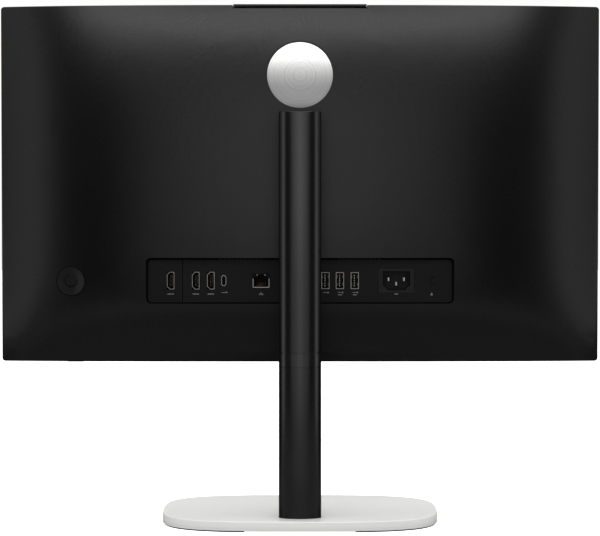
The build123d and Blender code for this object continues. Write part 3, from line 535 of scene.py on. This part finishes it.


# Centre, size and corners of the black moulding in each metal shell, which paints shade over the shell's inner
# walls.
LINED_PORTS = [(x, (5.75 * MM, 14.75 * MM), 0.6 * MM, 2.3 * MM) for x in VIDEO_X]
LINED_PORTS += [(x, (6.35 * MM, 13.95 * MM), 0.5 * MM, 0.5 * MM) for x in USB_A_X]
LINED_PORTS += [(USB_C_X, (3.5 * MM, 8.7 * MM), 1.3 * MM, 1.3 * MM)]


def port_shade_liners():
    """Black mouldings that line the metal shells and close them behind the tongues; on the shell walls their black
    is painted shade.
    """
    shape = bmesh.new()
    both_walls = 0.9 * MM
    for x, size, corner, bevel in LINED_PORTS:
        outer = port_outline(x, size, corner, bevel)
        inner = port_outline(x, (size[0] - both_walls, size[1] - both_walls), corner, bevel * 0.9)
        cup(shape, outer, inner, SHELL_FACE + 0.03 * MM, 7.0 * MM, 7.6 * MM)
    piece("port_shade_liners", finished(shape), LOOKS["port_insert"], "head")


def bay_shade_foam():
    """Black foam behind the port plate that closes the gap round its edge; its black is painted shade in that gap.
    """
    low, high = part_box("io_plate")
    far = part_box("flex_port_plate")[1]
    reach = 1.9 * MM
    inset = 2.5 * MM
    front = high.y - 2.1 * MM
    across = (low.x - reach, far.x + reach)
    outer = rounded_outline(across, (low.z - 0.9 * MM, high.z + 0.4 * MM), 4.4 * MM)
    across = (low.x + inset, far.x - inset)
    inner = rounded_outline(across, (low.z + inset, high.z - 2 * inset), 3.0 * MM)
    # Painted shade: the foam darkens the gap round the plate.
    shape = bmesh.new()
    places = ((outer, front - MM), (outer, front), (inner, front), (inner, front - MM))
    hoop(shape, [flat_ring(shape, outline, y) for outline, y in places])
    piece("bay_shade_foam", finished(shape), LOOKS["foam_black"], "head")


def network_hood():
    """The black nose of the network socket, over the top of its metal shell."""
    low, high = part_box("network_port")
    shape = bmesh.new()
    left, right = low.x - 0.1 * MM, high.x + 0.1 * MM
    rear, front = high.y - 0.25 * MM, high.y + 0.06 * MM
    top, brow, foot = high.z + 0.1 * MM, high.z - 0.75 * MM, high.z - 4.6 * MM
    cheek = 0.8 * MM
    block(shape, (left, rear, brow), (right, front, top), 0.05 * MM)
    for x in (left, right - cheek):
        block(shape, (x, rear, foot), (x + cheek, front, brow + 0.05 * MM), 0.05 * MM)
    piece("network_hood", finished(shape), LOOKS["port_insert"], "head")


# Middle of the power button's dish, on the surface of the cover.
DISH_CENTRE = (205.9 * MM, -13.04 * MM, 212.3 * MM)
DISH_STEPS = 72


def dish_shade_ring():
    """A dark ring in the seam round the power button's dish: painted shade of the seam, shaped as a seal."""
    press = next(joint for joint in frame["joints"] if joint["name"] == "power_press")
    outward = -Vector(press["axis"]).normalized()
    centre = Vector(DISH_CENTRE)
    across = Vector((0, 0, 1)).cross(outward).normalized()
    up = outward.cross(across)
    # Painted shade: a black ring laid in the dish's seam.
    shape = bmesh.new()
    rings = []
    for radius, lift in ((12.75, -0.3), (12.75, 0.12), (13.75, 0.12), (13.75, -0.3)):
        middle = centre + lift * MM * outward
        rings.append(tilted_ring(shape, middle, across, up, radius * MM, DISH_STEPS))
    hoop(shape, rings)
    piece("dish_shade_ring", finished(shape), LOOKS["foam_black"], "head")


# The cover's outward direction at the badge, and the lens that fills the badge's seat.
BADGE_NORMAL = Vector((0, 0.9992, 0.0408))
BADGE_SINK = 1.15 * MM
BADGE_STEPS = 96
LENS_RISE = 1.7
LENS_RINGS = 14
# Share of the radius and height in millimetres of each step of the rolled edge.
LENS_EDGE = [(0.975, -1.66), (0.99, -1.78), (1.0, -1.95), (1.0, -2.0)]


def badge_lens():
    """The plain silver disc: a shallow lens with a rolled edge, in place of the CAD disc."""
    across = Vector((1, 0, 0))
    up = across.cross(BADGE_NORMAL)
    top = Vector((BADGE_CENTRE.x, BADGE_HIGH.y, BADGE_CENTRE.z)) - BADGE_NORMAL * BADGE_SINK
    radius = BADGE_REACH - 0.05 * MM
    shares = [step / LENS_RINGS for step in range(1, LENS_RINGS)]
    profile = [(share, -LENS_RISE * share ** 2) for share in shares] + LENS_EDGE
    shape = bmesh.new()
    rings = []
    for share, lift in profile:
        middle = top + lift * MM * BADGE_NORMAL
        rings.append(tilted_ring(shape, middle, across, up, radius * share, BADGE_STEPS))
    pole = shape.verts.new(top)
    for index in range(BADGE_STEPS):
        shape.faces.new((pole, rings[0][index], rings[0][(index + 1) % BADGE_STEPS]))
    bridge(shape, rings)
    shape.faces.new(rings[-1])
    for face in shape.faces:
        face.smooth = True
    disc = piece("badge_lens", finished(shape), LOOKS["badge_silver"], "head")
    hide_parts("badge_disc")


def bar(shape, x, z, width, height):
    """One printed stroke on the port plate."""
    outline = [(x - width / 2, z - height / 2), (x + width / 2, z - height / 2),
               (x + width / 2, z + height / 2), (x - width / 2, z + height / 2)]
    prism(shape, outline, PLATE_FACE, PLATE_FACE + MARK_T)


def port_marks():
    """Plain printed marks under the sockets: strokes, dots and a triangle, with no lettering."""
    shape = bmesh.new()
    for x in VIDEO_X:
        bar(shape, x, MARK_Z, 5.8 * MM, 0.8 * MM)
    for x in (USB_C_X, *USB_A_X):
        bar(shape, x, MARK_Z + 1.4 * MM, 4.6 * MM, 0.45 * MM)
        prism(shape, round_outline((x - 2.4 * MM, MARK_Z + 1.4 * MM), 0.75 * MM, 12),
              PLATE_FACE, PLATE_FACE + MARK_T)
    for x in USB_A_X[1:]:
        bar(shape, x, MARK_Z - 0.7 * MM, 3.4 * MM, 0.8 * MM)
    for step in (-1, 0, 1):
        bar(shape, NETWORK_X + step * 1.5 * MM, MARK_Z - 0.5 * MM, 0.9 * MM, 0.9 * MM)
    bar(shape, NETWORK_X, MARK_Z + 0.9 * MM, 1.0 * MM, 0.9 * MM)
    bar(shape, NETWORK_X, MARK_Z + 0.2 * MM, 3.6 * MM, 0.3 * MM)
    bar(shape, INLET_X, MARK_Z, 3.4 * MM, 0.8 * MM)
    prism(shape, [(LOCK_X - 1.3 * MM, MARK_Z - 1.2 * MM), (LOCK_X + 1.3 * MM, MARK_Z - 1.2 * MM),
                  (LOCK_X, MARK_Z + 1.4 * MM)], PLATE_FACE, PLATE_FACE + MARK_T)
    piece("port_marks", finished(shape), INK, "head")


# ---------------------------------------------------------------- screen and webcam details
def screen_area():
    """The switched-off picture area, a shade lighter than the black border printed round it."""
    low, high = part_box("screen_glass")
    shape = bmesh.new()
    side, chin, brow = 5 * MM, 15 * MM, 6 * MM
    outline = [(low.x + side, low.z + chin), (high.x - side, low.z + chin),
               (high.x - side, high.z - brow), (low.x + side, high.z - brow)]
    prism(shape, outline, low.y - 0.04 * MM, low.y + 0.1 * MM)
    piece("screen_area", finished(shape), LOOKS["panel_dark"], "head")


def webcam_face():
    """The raised ring round the lens, on the front of the rising webcam."""
    low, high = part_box("webcam_lens")
    centre = ((low.x + high.x) / 2, (low.z + high.z) / 2)
    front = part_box("webcam_module")[0].y
    proud = front - 0.25 * MM
    shape = bmesh.new()
    outer = round_outline(centre, 5.2 * MM, 40)
    inner = round_outline(centre, 4.4 * MM, 40)
    places = ((outer, front), (outer, proud), (inner, proud), (inner, front))
    hoop(shape, [flat_ring(shape, outline, y) for outline, y in places])
    piece("webcam_ring", finished(shape), LOOKS["ring_gloss"], "webcam")


def painted_microphone_holes():
    """Two flat dark discs painted as the shade of microphone holes, and a status light, all off, beside the lens.
    """
    low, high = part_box("webcam_lens")
    z = (low.z + high.z) / 2
    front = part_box("webcam_module")[0].y
    shape = bmesh.new()
    for x in (-34 * MM, 34 * MM, 12 * MM):
        prism(shape, round_outline((x, z), 0.7 * MM), front, front - 0.06 * MM)
    piece("painted_microphone_holes", finished(shape), LOOKS["port_insert"], "webcam")


# ---------------------------------------------------------------- stand details
SCREW_X = (-7 * MM, 7 * MM)
SCREW_Y = (56 * MM, 65 * MM)
LOBES = 6
LOBE_STEPS = 36


def lobed_ring(shape, x, y, z):
    """Points of a six-lobed driver recess at one height."""
    ring = []
    for step in range(LOBE_STEPS):
        turn = 2 * pi * step / LOBE_STEPS
        reach = (1.7 + 0.35 * cos(LOBES * turn)) * MM
        ring.append(shape.verts.new((x + reach * cos(turn), y + reach * sin(turn), z)))
    return ring


def base_screw_recesses():
    """Dark six-lobed marks on the heads of the four column screws, seen from below: painted shade standing for
    driver recesses.
    """
    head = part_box("column_screws")[0].z
    shape = bmesh.new()
    for x in SCREW_X:
        for y in SCREW_Y:
            capped(shape, [lobed_ring(shape, x, y, head - 0.04 * MM),
                           lobed_ring(shape, x, y, head + 0.3 * MM)])
    # Painted shade: black plugs in place of cut recesses.
    look = LOOKS["underside_black"]
    piece("painted_screw_recesses", finished(shape), look, "stand")


# ---------------------------------------------------------------- room, lights and camera
def area_light(name, place, turn, size, power):
    """A soft panel, square-on along its own -Z before the turn, that the camera doesn't see."""
    lamp = bpy.data.lights.new(name, "AREA")
    lamp.shape = "RECTANGLE"
    lamp.size = size[0]
    lamp.size_y = size[1]
    lamp.energy = power
    holder = bpy.data.objects.new(name, lamp)
    holder.location = place
    holder.rotation_euler = [radians(angle) for angle in turn]
    holder.visible_camera = False
    bpy.context.scene.collection.objects.link(holder)


def sheet_mesh(name, corners):
    """One four-sided face through four points."""
    mesh = bpy.data.meshes.new(name)
    mesh.from_pydata([Vector(c) for c in corners], [], [(0, 1, 2, 3)])
    return bpy.data.objects.new(name, mesh)


FLOOR_REACH = 6.0


def build_floor():
    """A pale floor under the stand."""
    near, far = -FLOOR_REACH, FLOOR_REACH
    floor = sheet_mesh("floor", [(near, near, 0), (far, near, 0), (far, far, 0), (near, far, 0)])
    floor.data.materials.append(floor_white("floor_white"))
    floor.visible_glossy = False
    floor.visible_diffuse = False
    bpy.context.scene.collection.objects.link(floor)


# Upward part of the direction below which the surroundings are dark and above which they're white.
DARK_BELOW = -0.35
WHITE_ABOVE = -0.10
DARK_STRENGTH = 0.05


def build_world():
    """White surroundings, darker below the horizon, that don't mirror in glossy parts."""
    world = bpy.data.worlds.new("studio")
    world.use_nodes = True
    nodes = world.node_tree.nodes
    links = world.node_tree.links
    direction = nodes.new("ShaderNodeTexCoord")
    split = nodes.new("ShaderNodeSeparateXYZ")
    shade = nodes.new("ShaderNodeMapRange")
    shade.inputs["From Min"].default_value = DARK_BELOW
    shade.inputs["From Max"].default_value = WHITE_ABOVE
    shade.inputs["To Min"].default_value = DARK_STRENGTH
    shade.inputs["To Max"].default_value = 1.0
    links.new(direction.outputs["Generated"], split.inputs["Vector"])
    links.new(split.outputs["Z"], shade.inputs["Value"])
    links.new(shade.outputs["Result"], nodes["Background"].inputs["Strength"])
    nodes["Background"].inputs["Color"].default_value = (1, 1, 1, 1)
    bpy.context.scene.world = world
    world.cycles_visibility.glossy = False


# Turns in degrees that aim a panel: at the ports' side, upwards, down and at the screen.
TO_PORTS = (-90, 0, 0)
UPWARDS = (180, 0, 0)
DOWNWARDS = (0, 0, 0)
TO_SCREEN = (72, 0, 0)

# Name, place, size and power of each panel. No two share a plane.
REAR_LIGHTS = [
    ("front_core", (0, 0.556, 0.26), (0.16, 0.40), 0.050),
    ("front_middle", (0, 0.562, 0.33), (0.40, 0.18), 0.064),
    ("front_foot", (0, 0.574, 0.05), (0.40, 0.10), 0.016),
    ("front_wide", (0, 0.580, 0.26), (0.64, 0.40), 0.276),
    ("high_low", (0, 0.586, 0.54), (0.90, 0.10), 0.11),
    ("high_middle", (0, 0.592, 0.65), (1.04, 0.12), 1.47),
]
FLOOR_LIGHTS = [
    ("glow_near", (0, 0.10, 0.004), (1.1, 0.23), 0.150),
    ("glow_mid", (0, 0.27, 0.006), (1.1, 0.12), 0.050),
    ("glow_far", (0, 0.41, 0.008), (1.1, 0.14), 0.210),
]
# Each of these stands on both sides, facing inwards.
SIDE_LIGHTS = [
    ("close_", (0.45, 0.17, 0.38), (0.44, 0.16), 0.125),
    ("low_", (0.455, 0.17, 0.10), (0.12, 0.16), 0.035),
    ("mid_", (0.50, 0.29, 0.32), (0.56, 0.08), 0.052),
    ("far_", (2.4, -0.7, 0.7), (1.2, 1.2), 0.8),
]


def build_lights():
    """Soft panels behind the PC, on the floor, beside it, above it and facing its screen."""
    for name, place, size, power in REAR_LIGHTS:
        area_light(name, place, TO_PORTS, size, power)
    for name, place, size, power in FLOOR_LIGHTS:
        area_light(name, place, UPWARDS, size, power)
    for side, hand in ((1, "left"), (-1, "right")):
        for name, (x, y, z), size, power in SIDE_LIGHTS:
            area_light(name + hand, (side * x, y, z), (0, side * 90, 0), size, power)
    area_light("overhead", (0, -0.1, 1.6), DOWNWARDS, (1.6, 1.0), 3.0)
    area_light("screen_side", (0, -2.4, 1.1), TO_SCREEN, (2.4, 1.2), 9.0)


CAMERA_PLACE = (0, 2.297, 0.3075)
CAMERA_PITCH = 2.07
CAMERA_LENS = 154.4


def build_camera():
    """Level with the middle of the display, looking slightly down at the ports' side."""
    lens = bpy.data.cameras.new("camera")
    lens.lens = CAMERA_LENS
    lens.sensor_width = 36.0
    lens.clip_start = 0.01
    camera = bpy.data.objects.new("camera", lens)
    camera.location = CAMERA_PLACE
    camera.rotation_euler = (radians(90 - CAMERA_PITCH), 0, radians(180))
    bpy.context.scene.collection.objects.link(camera)
    bpy.context.scene.camera = camera


dress_cad_nodes()
usb_contacts()
usb_springs()
video_contacts()
network_contacts()
network_shield_tabs()
network_hood()
port_shade_liners()
bay_shade_foam()
dish_shade_ring()
badge_lens()
port_marks()
screen_area()
webcam_face()
painted_microphone_holes()
base_screw_recesses()
build_floor()
build_world()
build_lights()
build_camera()
bpy.context.scene.view_settings.view_transform = "Standard"
